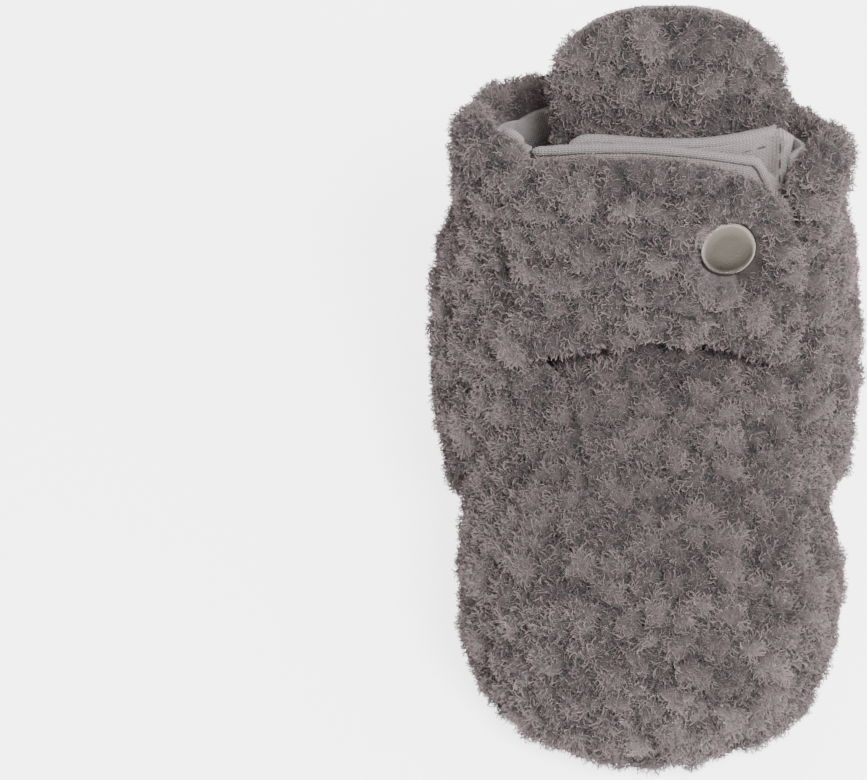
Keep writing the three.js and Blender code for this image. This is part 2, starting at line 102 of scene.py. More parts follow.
class KnitSettings(bpy.types.PropertyGroup):
    pitch: length("Stitch pitch", "Width of one knitted stitch", 0.8 * MM)
    roll: length("Rolled edge", "Radius of the rolled edges", 1.0 * MM)
    face: colour("Knit colour", "The knit's raised loops", (0.36, 0.315, 0.31))
    # The knit shade colour is painted shade, for the shade between the raised loops.
    shade: colour("Knit shade", "The knit between its loops", (0.13, 0.108, 0.106))
    thread: colour("Thread colour", "Topstitching thread", (0.07, 0.057, 0.055))
    stitch: length("Stitch length", "Length of one topstitch", 2.0 * MM)
    stitch_gap: length("Stitch spacing", "Distance from one stitch to the next", 2.7 * MM)
    stitch_inset: length("Stitch inset", "Distance of the topstitching from the edge", 1.9 * MM)


class SnapSettings(bpy.types.PropertyGroup):
    # The metal colour is a painted dark reflection: nickel darkened for the dark surroundings that its face mirrors.
    metal: colour("Metal colour", "Satin nickel, dulled by wear", (0.1, 0.089, 0.075))
    # The rim colour is a painted highlight on the rolled rim, where the key light's reflection falls.
    bright: colour("Rim colour", "Nickel that rubbing keeps bright", (0.3, 0.275, 0.235))
    rim: length("Rim width", "Width of the cap's rolled rim", 0.85 * MM)
    dish: length("Dish", "How far the cap's face lies below its rim", 0.22 * MM)


class StageSettings(bpy.types.PropertyGroup):
    elevation: bpy.props.FloatProperty(
        name="Elevation",
        description="Height of the camera's line of sight above level",
        default=math.radians(50),
        subtype="ANGLE",
    )
    distance: length("Distance", "From the camera to the bootie", 0.9)
    view_width: length("View width", "Width of the picture at the bootie", 157.6 * MM)
    glow: bpy.props.FloatProperty(
        name="Floor glow", description="Light that the floor gives off", default=3.2, min=0
    )
    floor: colour("Floor colour", "Colour of the floor", (0.97, 0.97, 0.97))


# ------------------------------------------------------------------ node trees


class Value:
    """A node's output that Python's operators work on."""

    def __init__(self, graph, socket):
        self.graph = graph
        self.socket = socket

    def __add__(self, other):
        return self.graph.math("ADD", self, other)

    def __sub__(self, other):
        return self.graph.math("SUBTRACT", self, other)

    def __rsub__(self, other):
        return self.graph.math("SUBTRACT", other, self)

    def __mul__(self, other):
        return self.graph.math("MULTIPLY", self, other)

    def __truediv__(self, other):
        return self.graph.math("DIVIDE", self, other)

    __radd__ = __add__
    __rmul__ = __mul__


class Graph:
    """Builds a node tree, shader or geometry."""

    def __init__(self, tree):
        self.tree = tree

    def node(self, kind, settings=None, inputs=None, output=0):
        made = self.tree.nodes.new(kind)
        for name, value in (settings or {}).items():
            setattr(made, name, value)
        for name, value in (inputs or {}).items():
            self.feed(made.inputs[name], value)
        return Value(self, made.outputs[output])

    def feed(self, socket, value):
        if isinstance(value, Value):
            self.tree.links.new(value.socket, socket)
        else:
            socket.default_value = value

    def math(self, operation, a, b=0.0):
        kind = "ShaderNodeMath"
        return self.node(kind, {"operation": operation}, {0: a, 1: b})

    def blend(self, factor, low, high):
        """Goes from colour low to colour high with factor."""
        mixer = self.tree.nodes.new("ShaderNodeMix")
        mixer.data_type = "RGBA"
        self.feed(mixer.inputs[0], factor)
        for socket, value in ((mixer.inputs[6], low), (mixer.inputs[7], high)):
            self.feed(socket, value if isinstance(value, Value) else (*value, 1))
        return Value(self, mixer.outputs[2])

    def noise(self, where, scale, detail=2.0, roughness=0.5):
        settings = {"Vector": where, "Scale": scale, "Detail": detail, "Roughness": roughness}
        return self.node("ShaderNodeTexNoise", None, settings)


def surface(name, fixed):
    """A new material, its graph and its shader. fixed holds the shader's constant sockets."""
    material = bpy.data.materials.new(name)
    material.use_nodes = True
    shader = material.node_tree.nodes["Principled BSDF"]
    for socket, value in fixed.items():
        shader.inputs[socket].default_value = value
    return material, Graph(material.node_tree), shader


def bump(graph, shader, height, distance, strength=1.0):
    values = {"Height": height, "Distance": distance, "Strength": strength}
    graph.feed(shader.inputs["Normal"], graph.node("ShaderNodeBump", None, values))


def object_place(graph):
    return graph.node("ShaderNodeTexCoord", output="Object")


def fleece_ground(settings):
    """The fleece under its loose fibres: painted shade in the creases between nubs, pale on the nubs."""
    fixed = {"Roughness": 1.0, "Sheen Weight": 0.25, "Sheen Roughness": 0.6}
    material, graph, shader = surface("fleece_ground", fixed)
    where = object_place(graph)
    nub = graph.node("ShaderNodeAttribute", {"attribute_name": "nub"}, output="Fac")
    patches = graph.noise(where, 45, 3)
    fluff = graph.noise(where, 1100, 4, 0.65)
    strands = graph.noise(where, 420, 3, 0.6)
    # level is low in the creases and high on the nubs, so the blend below puts painted shade in the creases.
    level = nub * 1.15 + patches * 0.5 + fluff * 0.5 - 0.78
    ground = graph.blend(level, settings.painted_crease_shade, settings.crown)
    warmth = graph.noise(where, 22, 2)
    warm = [settings.crown[0] * 1.12, settings.crown[1] * 0.97, settings.crown[2] * 0.86]
    graph.feed(shader.inputs["Base Color"], graph.blend(warmth * nub * 0.45, ground, warm))
    bump(graph, shader, fluff * 0.5 + strands, 0.5 * MM)
    return material


def fibre_tone(name, settings, share, warmth):
    """A plain fibre colour, share of the way from the painted shade colour of the creases to the crown's."""
    low, high = Vector(settings.painted_crease_shade), Vector(settings.crown)
    tone = low.lerp(high, share)
    fixed = {
        "Base Color": (tone[0] * (1 + warmth), tone[1], tone[2] * (1 - warmth), 1),
        "Roughness": 0.85,
        "Sheen Weight": 0.3,
        "Sheen Roughness": 0.5,
    }
    return surface(name, fixed)[0]


def jersey(name, settings):
    """Plain knit: columns of small V stitches, darker between the raised loops as painted shade. The attribute cloth
    holds the place on the cloth in metres.
    """
    fixed = {"Roughness": 0.95, "Sheen Weight": 0.2, "Sheen Roughness": 0.6}
    material, graph, shader = surface(name, fixed)
    cloth = graph.node("ShaderNodeAttribute", {"attribute_name": "cloth"}, output="Vector")
    split = graph.node("ShaderNodeSeparateXYZ", None, {"Vector": cloth}).socket.node
    across, along = (Value(graph, split.outputs[i]) for i in (0, 1))
    wobble = graph.noise(cloth, 160, 2) * 0.5
    column = graph.math("PINGPONG", across / settings.pitch + wobble, 0.5) * 2
    rows = along / (settings.pitch * 0.75) + column * 0.55 + wobble
    course = graph.math("SINE", rows * (2 * math.pi)) * 0.5 + 0.5
    rib = graph.math("SINE", column * math.pi)
    loop = course * 0.45 + rib * 0.55
    fuzz = graph.noise(object_place(graph), 1500, 3)
    # tone falls between the loops: painted shade.
    tone = loop * 0.75 + fuzz * 0.5 - 0.12
    graph.feed(shader.inputs["Base Color"], graph.blend(tone, settings.shade, settings.face))
    bump(graph, shader, loop + fuzz * 0.4, 0.3 * MM)
    return material


def shared_knit(settings):
    """The one knit that all the linings and edges are cut from."""
    return bpy.data.materials.get("jersey") or jersey("jersey", settings)


def yarn(settings):
    fixed = {"Roughness": 0.8, "Sheen Weight": 0.2}
    material, graph, shader = surface("topstitch_thread", fixed)
    ply = graph.noise(object_place(graph), 2600, 2)
    dark = [part * 0.6 for part in settings.thread]
    graph.feed(shader.inputs["Base Color"], graph.blend(ply, dark, settings.thread))
    return material


def satin_nickel(settings):
    """Nickel with a faint cloudy polish and fine scratches. Its dark colour is a painted dark reflection, and the rim
    attribute lays a painted highlight on the rolled rim.
    """
    material, graph, shader = surface("satin_nickel", {"Metallic": 1.0})
    where = object_place(graph)
    cloud = graph.noise(where, 260, 3)
    stretched = graph.node("ShaderNodeMapping", None, {"Vector": where, "Scale": (1, 14, 9)})
    scratch = graph.noise(stretched, 700, 3)
    graph.feed(shader.inputs["Roughness"], cloud * 0.16 + scratch * 0.14 + 0.14)
    # Both metal colours are painted light; the cloud noise only varies them at random.
    worn = [part * 0.7 for part in settings.metal]
    edge = graph.node("ShaderNodeAttribute", {"attribute_name": "rim"}, output="Fac")
    painted_dark_nickel = graph.blend(cloud, worn, settings.metal)
    # The rim attribute lays the painted highlight on the rolled rim.
    graph.feed(shader.inputs["Base Color"], graph.blend(edge, painted_dark_nickel, settings.bright))
    bump(graph, shader, scratch, 0.02 * MM)
    return material


def woven(name, low, high, scale):
    """Plain woven cloth: two sets of yarns across each other."""
    material, graph, shader = surface(name, {"Roughness": 0.92})
    where = object_place(graph)
    split = graph.node("ShaderNodeSeparateXYZ", None, {"Vector": where}).socket.node
    x, y = (Value(graph, split.outputs[i]) for i in (0, 1))
    weave = graph.math("SINE", x * scale) * graph.math("SINE", y * scale)
    tone = weave * 0.3 + graph.noise(where, 900, 3) * 0.8
    graph.feed(shader.inputs["Base Color"], graph.blend(tone, low, high))
    bump(graph, shader, weave, 0.15 * MM)
    return material


def wadding_fibre(name, low, high):
    material, graph, shader = surface(name, {"Roughness": 1.0})
    wisps = graph.noise(object_place(graph), 500, 5, 0.7)
    graph.feed(shader.inputs["Base Color"], graph.blend(wisps, low, high))
    bump(graph, shader, wisps, 0.3 * MM)
    return material


def elastic_ribs(name, low, high):
    material, graph, shader = surface(name, {"Roughness": 0.8})
    split = graph.node("ShaderNodeSeparateXYZ", None, {"Vector": object_place(graph)}).socket.node
    ribs = graph.math("SINE", Value(graph, split.outputs[2]) * (2 * math.pi / (0.9 * MM)))
    graph.feed(shader.inputs["Base Color"], graph.blend(ribs * 0.5 + 0.5, low, high))
    bump(graph, shader, ribs, 0.15 * MM)
    return material


# ------------------------------------------------------------------ mesh tools


def place(name, mesh):
    made = bpy.data.objects.new(name, mesh)
    bpy.context.scene.collection.objects.link(made)
    return made


def merged_copy(name, *nodes):
    """CAD nodes as one mesh whose triangles share their vertices."""
    gathered = bmesh.new()
    for node in nodes:
        gathered.from_mesh(NODES[node].data)
    bmesh.ops.remove_doubles(gathered, verts=gathered.verts, dist=0.001 * MM)
    mesh = bpy.data.meshes.new(name)
    gathered.to_mesh(mesh)
    gathered.free()
    return place(name, mesh)


def apply_modifiers(made):
    """Turns an object's modifiers into a plain mesh."""
    graph = bpy.context.evaluated_depsgraph_get()
    mesh = bpy.data.meshes.new_from_object(made.evaluated_get(graph))
    made.modifiers.clear()
    made.data = mesh
    return made


def remesh(made, size, rounds, strength=0.5):
    """Rebuilds a solid in even faces of the given size and softens its edges."""
    voxels = made.modifiers.new("remesh", "REMESH")
    voxels.mode = "VOXEL"
    voxels.voxel_size = size
    voxels.use_smooth_shade = True
    soften = made.modifiers.new("soften", "SMOOTH")
    soften.factor = strength
    soften.iterations = rounds
    return apply_modifiers(made)


def bvh(*nodes):
    gathered = bmesh.new()
    for node in nodes:
        gathered.from_mesh(NODES[node].data)
    tree = bvhtree.BVHTree.FromBMesh(gathered)
    gathered.free()
    return tree


def ease(value, low, high):
    """0 up to low, 1 from high on, and smooth between."""
    t = min(1.0, max(0.0, (value - low) / (high - low)))
    return t * t * (3 - 2 * t)


def store(mesh, name, values):
    attribute = mesh.attributes.new(name, "FLOAT", "POINT")
    attribute.data.foreach_set("value", values)


def store_cloth(mesh, places):
    attribute = mesh.attributes.new("cloth", "FLOAT_VECTOR", "POINT")
    attribute.data.foreach_set("vector", [part for spot in places for part in (*spot, 0.0)])


def scatter(points, spacing, seed):
    """A k-d tree of points picked at random, none nearer to another than spacing."""
    order = list(range(len(points)))
    random.Random(seed).shuffle(order)
    cells = {}
    chosen = []
    for i in order:
        point = points[i]
        key = tuple(math.floor(part / spacing) for part in point)
        near = (
            other
            for x in (-1, 0, 1)
            for y in (-1, 0, 1)
            for z in (-1, 0, 1)
            for other in cells.get((key[0] + x, key[1] + y, key[2] + z), ())
        )
        if any((point - other).length < spacing for other in near):
            continue
        cells.setdefault(key, []).append(point)
        chosen.append(point)
    tree = kdtree.KDTree(len(chosen))
    for i, point in enumerate(chosen):
        tree.insert(point, i)
    tree.balance()
    return tree


def mound(tree, point):
    """Height from 0 in the hollow between mounds to 1 on top of the mound that point lies on, and the mound's number.
    """
    (_, mine, near), (_, _, far) = tree.find_n(point, 2)
    rise = min(1.0, 1.7 * (far - near) / (far + near + 1e-9))
    return math.sqrt(1 - (1 - rise) ** 2), mine


# ------------------------------------------------------------------ fleece


class FleecePanel:
    """One fleece panel: its CAD node, what lies behind it, and what it must stay clear of."""

    def __init__(self, node, behind, clear, seed, layers, loft, padded=False, facing=None):
        self.node = node
        self.behind = behind
        self.clear = clear
        self.seed = seed
        self.layers = layers  # how many pieces its strands are shared over
        self.loft = loft  # how far the pile fills out past its pattern
        self.padded = padded
        self.facing = Vector(facing) if facing else None  # only faces turned this way swell


SOLE = ("outsole", "sole_padding", "insole_lining")
PANELS = [
    FleecePanel("vamp_fleece", ("vamp_lining", *SOLE), ("strap_lining", "tongue_lining"), 11, 3, 0.3 * MM),
    FleecePanel("quarter_fleece", ("quarter_lining", *SOLE), ("underflap_face", "strap_lining"), 12, 5, 0.5 * MM),
    FleecePanel("tongue_fleece", ("tongue_lining",), ("underflap_lining", "snap_ring"), 13, 2, 0.4 * MM, True),
    FleecePanel("strap_fleece", ("strap_lining", "snap_socket"), ("snap_cap",), 14, 1, 1.5 * MM, True, (0, -0.9, 0.43)),
]

FLOOR_CLEARANCE = (1.2 * MM, 5 * MM)  # pile grows from nothing to full between these heights


PUFF_FRAMES = 12


def puff(made, behind, most):
    """Stuffs a padded panel: cloth under pressure, held where it is sewn to its lining."""
    mesh = made.data
    points = [vertex.co.copy() for vertex in mesh.vertices]
    held = made.vertex_groups.new(name="sewn")
    depths = [behind.find_nearest(point)[3] for point in points]
    held.add([i for i, depth in enumerate(depths) if depth < 1.2 * MM], 1.0, "REPLACE")
    modifier = made.modifiers.new("stuffing", "CLOTH")
    cloth = modifier.settings
    cloth.vertex_group_mass = "sewn"
    cloth.use_pressure = True
    cloth.uniform_pressure_force = 60.0
    cloth.quality = 4
    cloth.effector_weights.gravity = 0
    modifier.point_cache.frame_start = 1
    modifier.point_cache.frame_end = PUFF_FRAMES
    scene = bpy.context.scene
    for frame_number in range(1, PUFF_FRAMES + 1):
        scene.frame_set(frame_number)
    graph = bpy.context.evaluated_depsgraph_get()
    stuffed = made.evaluated_get(graph).to_mesh()
    moves = [after.co - before for after, before in zip(stuffed.vertices, points)]
    made.evaluated_get(graph).to_mesh_clear()
    made.modifiers.clear()
    scene.frame_set(1)
    for vertex, move, depth in zip(mesh.vertices, moves, depths):
        if move.length > most:
            move = move.normalized() * most
        vertex.co += move * ease(depth, 1.2 * MM, 3.0 * MM)


def shape_panel(panel, settings):
    """A panel with its nubs and curls as real relief, and the attributes nub and pile."""
    made = merged_copy(panel.node + "_body", panel.node)
    behind = bvh(*panel.behind)
    remesh(made, settings.voxel * 1.8, 4)
    if panel.padded:
        puff(made, behind, settings.puff)
    remesh(made, settings.voxel, 3)
    mesh = made.data
    draw = random.Random(panel.seed)
    talls = [draw.random() for _ in range(len(mesh.vertices))]
    clear = bvh(*panel.clear)
    free_end = bvh("strap_fleece") if panel.node == "quarter_fleece" else None
    points = [vertex.co.copy() for vertex in mesh.vertices]
    normals = [vertex.normal.copy() for vertex in mesh.vertices]
    nubs = scatter(points, settings.nub_spacing, panel.seed)
    curls = scatter(points, settings.curl_spacing, panel.seed + 50)
    heights = []
    pile = []
    for vertex, point, normal in zip(mesh.vertices, points, normals):
        depth = behind.find_nearest(point)[3]
        outer = ease(depth, 0.7 * MM, 3.2 * MM) * ease(point.z, *FLOOR_CLEARANCE)
        free = ease(clear.find_nearest(point)[3], 0.7 * MM, 3.6 * MM)
        if free_end and point.x > 0:
            free *= ease(free_end.find_nearest(point)[3], 1.5 * MM, 5.5 * MM)
        sway = noise.noise_vector(point / (5 * MM)) * settings.nub_sway
        sway += noise.noise_vector(point / (1.8 * MM)) * (settings.nub_sway * 0.25)
        face = ease(normal.dot(panel.facing), 0.0, 0.7) if panel.facing else 1.0
        outer *= 0.1 + 0.9 * face
        nub, number = mound(nubs, point + sway)
        curl, _ = mound(curls, point + sway * 0.6)
        tall = 0.45 + 0.75 * talls[number]
        rise = nub * tall * settings.nub_height + curl * settings.curl_height * (0.4 + 0.6 * nub)
        vertex.co = point + normal * (outer * free * (panel.loft + rise))
        heights.append(nub * tall * 0.75 + curl * 0.25)
        sewn = ease(depth, 0.5 * MM, 1.8 * MM) * (0.35 + 0.65 * face)
        pile.append(sewn * ease(free, 0.0, 0.4) * ease(point.z, 0.6 * MM, 2 * MM))
    # nub also sets where the fleece gets painted shade in its creases and where the pile's dark and light strands go.
    store(mesh, "nub", heights)
    store(mesh, "pile", pile)
    return made


PILE_INPUTS = (
    ("Density", "NodeSocketFloat"),
    ("Width", "NodeSocketFloat"),
    ("Radius", "NodeSocketFloat"),
    ("Lean", "NodeSocketFloat"),
    ("Seed", "NodeSocketInt"),
    ("Light", "NodeSocketMaterial"),
    ("Middle", "NodeSocketMaterial"),
    ("Dark", "NodeSocketMaterial"),
)


def new_tree(name, inputs):
    """An empty Geometry Nodes tree with a mesh in, a mesh out and the named inputs."""
    tree = bpy.data.node_groups.new(name, "GeometryNodeTree")
    tree.interface.new_socket("Geometry", in_out="INPUT", socket_type="NodeSocketGeometry")
    for label, kind in inputs:
        tree.interface.new_socket(label, in_out="INPUT", socket_type=kind)
    tree.interface.new_socket("Geometry", in_out="OUTPUT", socket_type="NodeSocketGeometry")
    graph = Graph(tree)
    entry = tree.nodes.new("NodeGroupInput")
    given = {socket.name: Value(graph, socket) for socket in entry.outputs if socket.name}
    return tree, graph, given


def finish_tree(tree, graph, geometry):
    graph.feed(tree.nodes.new("NodeGroupOutput").inputs[0], geometry)


def run_tree(made, tree, values):
    """Runs a tree on an object and keeps its result as a plain mesh."""
    modifier = made.modifiers.new(tree.name, "NODES")
    modifier.node_group = tree
    for item in tree.interface.items_tree:
        if item.in_out == "INPUT" and item.name in values:
            modifier[item.identifier] = values[item.name]
    return apply_modifiers(made)


SWIRL = 1 / (7 * MM)  # noise cells to a metre: the strands' lean turns over about this length


def strand_shape(graph, given):
    """One strand: a thin ribbon bent along an arc that starts upright at its root."""
    arc = graph.node(
        "GeometryNodeCurveArc",
        None,
        {"Resolution": 3, "Radius": given["Radius"], "Start Angle": 0.0, "Sweep Angle": 1.25},
    )
    to_root = graph.node("ShaderNodeCombineXYZ", None, {"X": given["Radius"] * -1})
    upright = {"Geometry": arc, "Translation": to_root, "Rotation": (math.pi / 2, 0, 0)}
    rooted = graph.node("GeometryNodeTransform", None, upright)
    across = graph.node(
        "GeometryNodeCurvePrimitiveLine",
        None,
        {
            "Start": graph.node("ShaderNodeCombineXYZ", None, {"Y": given["Width"] * -0.5}),
            "End": graph.node("ShaderNodeCombineXYZ", None, {"Y": given["Width"] * 0.5}),
        },
    )
    return graph.node("GeometryNodeCurveToMesh", None, {"Curve": rooted, "Profile Curve": across})


def strand_turns(graph, given, normal):
    """How each strand is turned: along the normal, leaned over by a slow noise, then shaken at random."""
    where = graph.node("GeometryNodeInputPosition")
    drift = graph.node("ShaderNodeTexNoise", None, {"Vector": where, "Scale": SWIRL, "Detail": 2.0}, 1)
    centred = graph.node("ShaderNodeVectorMath", {"operation": "SUBTRACT"}, {0: drift, 1: (0.5, 0.5, 0.5)})
    leaned = graph.node("ShaderNodeVectorMath", {"operation": "SCALE"}, {0: centred, "Scale": given["Lean"]})
    grain = graph.node("ShaderNodeVectorMath", {"operation": "ADD"}, {0: normal, 1: leaned})
    along = graph.node("FunctionNodeAlignRotationToVector", {"axis": "Z"}, {"Vector": grain})
    shaken = graph.node(
        "FunctionNodeRandomValue",
        {"data_type": "FLOAT_VECTOR"},
        {0: (-0.4, -0.4, -math.pi), 1: (0.4, 0.4, math.pi), "Seed": given["Seed"]},
    )
    turns = {"Rotation": along, "Rotate By": shaken}
    return graph.node("FunctionNodeRotateRotation", {"rotation_space": "LOCAL"}, turns)


def above_floor(graph, strands):
    """Lays what would reach below the floor flat on it."""
    where = graph.node("ShaderNodeSeparateXYZ", None, {"Vector": graph.node("GeometryNodeInputPosition")})
    x, y, z = (Value(graph, output) for output in where.socket.node.outputs)
    lifted = graph.node("ShaderNodeCombineXYZ", None, {"X": x, "Y": y, "Z": graph.math("MAXIMUM", z, 0.03 * MM)})
    return graph.node("GeometryNodeSetPosition", None, {"Geometry": strands, "Position": lifted})


def pile_tree():
    """Strands that stand on a fleece panel, toned partly at random and partly by nub height: dark strands in its
    creases are painted shade, light ones on its nubs a painted highlight.
    """
    tree, graph, given = new_tree("pile", PILE_INPUTS)
    cover = graph.node("GeometryNodeInputNamedAttribute", {"data_type": "FLOAT"}, {"Name": "pile"})
    spots = graph.node(
        "GeometryNodeDistributePointsOnFaces",
        None,
        {"Mesh": given["Geometry"], "Density": given["Density"] * cover, "Seed": given["Seed"]},
    )
    normal = Value(graph, spots.socket.node.outputs["Normal"])
    spread = {2: 0.5, 3: 1.35, "Seed": given["Seed"]}
    placed = graph.node(
        "GeometryNodeInstanceOnPoints",
        None,
        {
            "Points": spots,
            "Instance": strand_shape(graph, given),
            "Rotation": strand_turns(graph, given, normal),
            "Scale": graph.node("FunctionNodeRandomValue", {"data_type": "FLOAT"}, spread, 1) * (cover * 0.7 + 0.3),
        },
    )
    nub = graph.node("GeometryNodeInputNamedAttribute", {"data_type": "FLOAT"}, {"Name": "nub"})
    chance = graph.node(
        "FunctionNodeRandomValue", {"data_type": "FLOAT"}, {2: 0.0, 3: 1.0, "Seed": given["Seed"]}, 1
    )
    # Tone 0, 1, 2 picks Dark, Middle, Light, partly at random and partly by nub height: dark strands are painted shade
    # in the creases, light ones a painted highlight on the nubs.
    level = graph.math("FLOOR", nub * 1.6 + chance * 2.1 - 0.5)
    tone = graph.math("MINIMUM", graph.math("MAXIMUM", level, 0.0), 2.0)
    marked = graph.node(
        "GeometryNodeStoreNamedAttribute",
        {"data_type": "INT", "domain": "INSTANCE"},
        {"Geometry": placed, "Name": "tone", "Value": tone},
    )
    strands = above_floor(graph, graph.node("GeometryNodeRealizeInstances", None, {"Geometry": marked}))
    shown = graph.node("GeometryNodeInputNamedAttribute", {"data_type": "INT"}, {"Name": "tone"})
    for number, label in enumerate(("Dark", "Middle", "Light")):
        chosen = graph.node(
            "FunctionNodeCompare", {"data_type": "INT", "operation": "EQUAL"}, {2: shown, 3: number}
        )
        worn = {"Geometry": strands, "Selection": chosen, "Material": given[label]}
        strands = graph.node("GeometryNodeSetMaterial", None, worn)
    finish_tree(tree, graph, strands)
    return tree


# ------------------------------------------------------------------ bodies

BLENDS = {
    "strap": ("shoe", (-27, 8, 60), (-8, 5, 60)),
    "underflap": ("shoe", (25, 13, 60), (18.5, 13, 60)),
    "tongue": ("shoe", (2, 6, 42), (2, 13, 55)),
}


def attach(made, body, slot, *nodes):
    """Parents a finished piece to its body's empty, or only bakes its transform into its mesh if its body is in BLENDS,
    and hides the CAD nodes it stands for. slot is not used.
    """
    if body in BLENDS:
        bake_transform(made)
    else:
        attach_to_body(made, body)
    if nodes:
        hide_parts(*nodes)


def body_of(node):
    for body, nodes in frame["record"]["behaviour"]["bodies"].items():
        if node in nodes:
            return body
    raise ValueError(node + " is in no body")


class BOOTIE_OT_fleece(bpy.types.Operator):
    """Makes the fleece panels and the strands on them"""

    bl_idname = "bootie.fleece"
    bl_label = "Fleece Panels"

    def execute(self, context):
        settings = context.scene.bootie_fleece
        ground = fleece_ground(settings)
        # Dark strands stand in for painted shade in the creases; Light strands, brighter than the crown, for a painted
        # highlight on the nubs.
        tones = {
            "Dark": fibre_tone("fibre_dark", settings, 0.1, 0.0),
            "Middle": fibre_tone("fibre_middle", settings, 0.75, 0.02),
            "Light": fibre_tone("fibre_light", settings, 2.2, 0.02),
        }
        tree = pile_tree()
        for panel in PANELS:
            body = body_of(panel.node)
            base = shape_panel(panel, settings)
            base.data.materials.clear()
            base.data.materials.append(ground)
            for layer in range(panel.layers):
                strands = place(f"{panel.node}_strands_{layer + 1}", base.data.copy())
                values = {
                    "Density": settings.fibres / panel.layers / MM**2,
                    "Width": settings.fibre_width,
                    "Radius": settings.fibre_radius,
                    "Lean": settings.lean,
                    "Seed": panel.seed * 10 + layer,
                    **tones,
                }
                run_tree(strands, tree, values)
                attach(strands, body, "fleece")
            attach(base, body, "fleece", panel.node)
        return {"FINISHED"}


# ------------------------------------------------------------------ knit


def around(point):
    """Distance round the ankle, for cloth that wraps it."""
    return math.atan2(point.x, 40 * MM - point.y) * 32 * MM


def cut_long_edges(mesh, longest):
    """Splits edges until none is longer than longest. Its shape stays."""
    work = bmesh.new()
    work.from_mesh(mesh)
    for _ in range(6):
        edges = [edge for edge in work.edges if edge.calc_length() > longest]
        if not edges:
            break
        bmesh.ops.subdivide_edges(work, edges=edges, cuts=1)
        bmesh.ops.triangulate(work, faces=work.faces)
    work.to_mesh(mesh)
    work.free()


def lining(name, node, cloth, longest=None):
    """A smooth copy of a lining. cloth(point) gives its place on the knit."""
    made = merged_copy(name, node)
    mesh = made.data
    if longest:
        cut_long_edges(mesh, longest)
    mesh.shade_smooth()
    mesh.set_sharp_from_angle(angle=math.radians(48))
    store_cloth(mesh, [cloth(vertex.co) for vertex in mesh.vertices])
    return made


def smooth_path(points, rounds=3):
    """Evens out a path's corners, with its ends kept."""
    for _ in range(rounds):
        middle = [(a + b * 2 + c) / 4 for a, b, c in zip(points, points[1:], points[2:])]
        points = [points[0], *middle, points[-1]]
    return points


def resample(points, spacing):
    """Points at equal steps along a path."""
    steps = [(b - a).length for a, b in zip(points, points[1:])]
    total = sum(steps)
    count = max(2, round(total / spacing))
    made = []
    passed = 0.0
    i = 0
    for k in range(count + 1):
        target = min(total * k / count, total - 1e-9)
        while passed + steps[i] < target:
            passed += steps[i]
            i += 1
        made.append(points[i].lerp(points[i + 1], (target - passed) / steps[i]))
    return made


def roll(name, points, radius, squeeze=1.0):
    """A rolled edge: a soft tube along points, with closed round ends."""
    points = resample(smooth_path(points), 0.9 * MM)
    sides = 12
    rings = []
    mesh = bmesh.new()
    cloth = []
    up = Vector((0, 0, 1))
    for i, point in enumerate(points):
        ahead = points[min(i + 1, len(points) - 1)] - points[max(i - 1, 0)]
        ahead.normalize()
        side = ahead.cross(up)
        if side.length < 0.2:
            side = ahead.cross(Vector((0, 1, 0)))
        side.normalize()
        rise = side.cross(ahead)
        swell = radius * (1 + 0.1 * noise.noise(point / (3 * MM)))
        tip = min(i, len(points) - 1 - i)
        swell *= (0.35, 0.8, 1.0)[min(tip, 2)]
        ring = []
        for k in range(sides):
            turn = 2 * math.pi * k / sides
            offset = side * math.cos(turn) * squeeze + rise * math.sin(turn)
            ring.append(mesh.verts.new(point + offset * swell))
            cloth.append((turn * radius, i * 0.9 * MM))
        rings.append(ring)
    for low, high in zip(rings, rings[1:]):
        for k in range(sides):
            mesh.faces.new((low[k], low[(k + 1) % sides], high[(k + 1) % sides], high[k]))
    mesh.faces.new(list(reversed(rings[0])))
    mesh.faces.new(rings[-1])
    bmesh.ops.recalc_face_normals(mesh, faces=mesh.faces)
    data = bpy.data.meshes.new(name)
    mesh.to_mesh(data)
    mesh.free()
    data.shade_smooth()
    store_cloth(data, cloth)
    return place(name, data)


def vertices_of(*nodes):
    return [vertex.co.copy() for node in nodes for vertex in NODES[node].data.vertices]


def extreme(points, direction, band, low, high, steps):
    """For each step of axis band from low to high, the middle of the points furthest along direction."""
    found = []
    half = abs(high - low) / steps * 0.75
    for i in range(steps + 1):
        middle = low + (high - low) * i / steps
        near = [point for point in points if abs(point[band] - middle) < half]
        if not near:
            continue
        best = max(point.dot(direction) for point in near)
        edge = [point for point in near if point.dot(direction) > best - 0.35 * MM]
        spot = sum(edge, Vector()) / len(edge)
        spot[band] = middle
        found.append(spot)
    return found


def flap_edge(nodes, free_side, root, end, low, high):
    """The free edge of a flap: along its top from the root, down its end and back along its bottom."""
    points = vertices_of(*nodes)
    top = extreme(points, Vector((0, 0, 1)), 0, root, end, 12)
    side = extreme(points, Vector((free_side, 0, 0)), 2, high, low, 8)
    bottom = extreme(points, Vector((0, 0, -1)), 0, end, root, 12)
    return top + side + bottom


